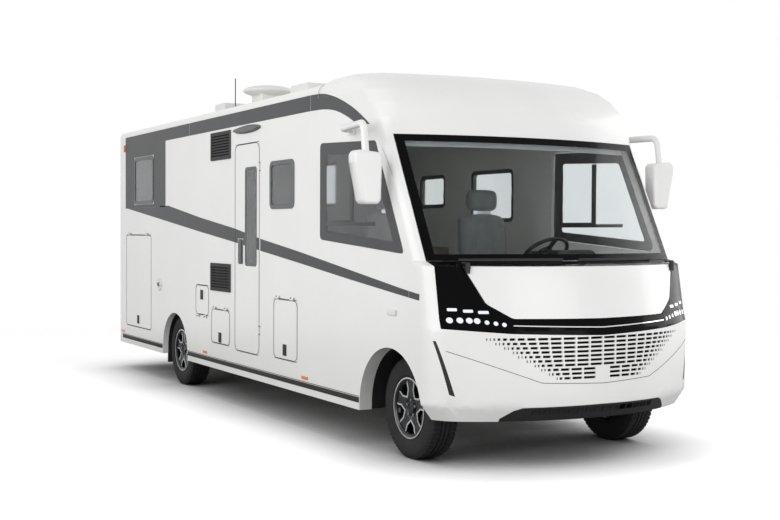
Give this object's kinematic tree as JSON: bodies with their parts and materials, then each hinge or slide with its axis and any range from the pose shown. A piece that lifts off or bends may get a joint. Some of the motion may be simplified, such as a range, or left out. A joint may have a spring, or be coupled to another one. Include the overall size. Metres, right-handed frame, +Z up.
{
  "type": "motorhome",
  "caption": "Long white integrated motorhome with a raised rounded front, wide windscreen, slotted grille, side door and hatches, on steered front and plain rear wheels.",
  "frame": {"origin": "on the floor under the middle of the vehicle's length and width", "axes": "+X forward along the vehicle, +Y to its left, +Z up"},
  "size_m": [7.79, 2.904, 3.2049],
  "materials": {
    "white_shell": "gloss white",
    "black_gloss": "gloss black",
    "black_matt": "matt black",
    "clear_glass": "clear",
    "tinted_glass": "tinted",
    "tyre": "matt",
    "alloy": "black with bright edges",
    "steel": "dark grey",
    "zinc": "plain",
    "engine": "cast",
    "grey_cloth": "woven",
    "furniture": "laminate",
    "amber": "amber",
    "red": "red"
  },
  "bodies": {
    "body": {"side_wall_right": "white_shell", "side_wall_left": "white_shell", "rear_wall": "white_shell", "roof": "white_shell", "front_cap": "white_shell", "front_bumper": "white_shell", "grille": "white_shell", "mirrors": "white_shell", "roof_units": "white_shell", "rear_bumper": "white_shell", "skirts": "white_shell", "filler_cap": "white_shell", "lamp_mask": "black_gloss", "lower_intake": "black_matt", "window_frames": "black_matt", "fridge_vents": "black_matt", "arch_liners": "black_matt", "dashboard": "black_matt", "steering_wheel": "black_matt", "wipers": "black_matt", "entry_step": "black_matt", "tanks": "black_matt", "mud_flaps": "black_matt", "windscreen": "clear_glass", "headlamps": "clear_glass", "awning_lamp": "clear_glass", "window_panes": "tinted_glass", "cab_side_glass": "tinted_glass", "chassis_frame": "steel", "front_subframe": "steel", "rear_axle": "steel", "hinge_pins": "zinc", "engine_block": "engine", "seats": "grey_cloth", "screen_blind": "grey_cloth", "cabinets": "furniture", "floor": "furniture", "marker_lamps": "amber", "rear_lamps": "red"},
    "knuckle_right": {"knuckle_right": "steel"},
    "knuckle_left": {"knuckle_left": "steel"},
    "wheel_front_right": {"tyre_front_right": "tyre", "rim_front_right": "alloy"},
    "wheel_front_left": {"tyre_front_left": "tyre", "rim_front_left": "alloy"},
    "wheel_rear_right": {"tyre_rear_right": "tyre", "rim_rear_right": "alloy"},
    "wheel_rear_left": {"tyre_rear_left": "tyre", "rim_rear_left": "alloy"},
    "entrance_door": {"entrance_door": "white_shell", "door_trim": "black_matt", "door_pane": "tinted_glass"},
    "garage_door_right": {"garage_door_right": "white_shell"},
    "garage_door_left": {"garage_door_left": "white_shell"},
    "gas_hatch": {"gas_hatch": "white_shell"},
    "tank_hatch": {"tank_hatch": "white_shell"},
    "locker_hatch": {"locker_hatch": "white_shell"},
    "bonnet": {"bonnet": "white_shell"}
  },
  "joints": [
    {"name": "steer_right", "type": "hinge", "parent": "body", "child": "knuckle_right", "pos_m": [2.925, -0.745, 0.365], "axis": [0, 0, 1], "range_deg": [-33, 33]},
    {"name": "roll_front_right", "type": "hinge", "parent": "knuckle_right", "child": "wheel_front_right", "pos_m": [2.925, -0.89, 0.365], "axis": [0, 1, 0], "continuous": true},
    {"name": "roll_rear_right", "type": "hinge", "parent": "body", "child": "wheel_rear_right", "pos_m": [-1.835, -0.962, 0.365], "axis": [0, 1, 0], "continuous": true},
    {"name": "steer_left", "type": "hinge", "parent": "body", "child": "knuckle_left", "pos_m": [2.925, 0.745, 0.365], "axis": [0, 0, 1], "range_deg": [-33, 33]},
    {"name": "roll_front_left", "type": "hinge", "parent": "knuckle_left", "child": "wheel_front_left", "pos_m": [2.925, 0.89, 0.365], "axis": [0, 1, 0], "continuous": true},
    {"name": "roll_rear_left", "type": "hinge", "parent": "body", "child": "wheel_rear_left", "pos_m": [-1.835, 0.962, 0.365], "axis": [0, 1, 0], "continuous": true},
    {"name": "door_swing", "type": "hinge", "parent": "body", "child": "entrance_door", "pos_m": [0.517, -1.159, 1.478], "axis": [0, 0, 1], "range_deg": [0, 90]},
    {"name": "garage_lift_right", "type": "hinge", "parent": "body", "child": "garage_door_right", "pos_m": [-3.11, -1.159, 1.59], "axis": [-1, 0, 0], "range_deg": [0, 95]},
    {"name": "garage_lift_left", "type": "hinge", "parent": "body", "child": "garage_door_left", "pos_m": [-3.11, 1.159, 1.59], "axis": [1, 0, 0], "range_deg": [0, 95]},
    {"name": "gas_hatch_drop", "type": "hinge", "parent": "body", "child": "gas_hatch", "pos_m": [-0.967, -1.159, 0.795], "axis": [1, 0, 0], "range_deg": [0, 100]},
    {"name": "tank_hatch_lift", "type": "hinge", "parent": "body", "child": "tank_hatch", "pos_m": [-0.455, -1.159, 0.885], "axis": [-1, 0, 0], "range_deg": [0, 95]},
    {"name": "locker_hatch_lift", "type": "hinge", "parent": "body", "child": "locker_hatch", "pos_m": [1.086, -1.159, 1.062], "axis": [-1, 0, 0], "range_deg": [0, 95]},
    {"name": "bonnet_lift", "type": "hinge", "parent": "body", "child": "bonnet", "pos_m": [3.51, 0, 1.424], "axis": [0, -1, 0], "range_deg": [0, 65]}
  ],
  "couplings": [
    {"joint": "steer_left", "follows": "steer_right", "ratio": 1}
  ]
}
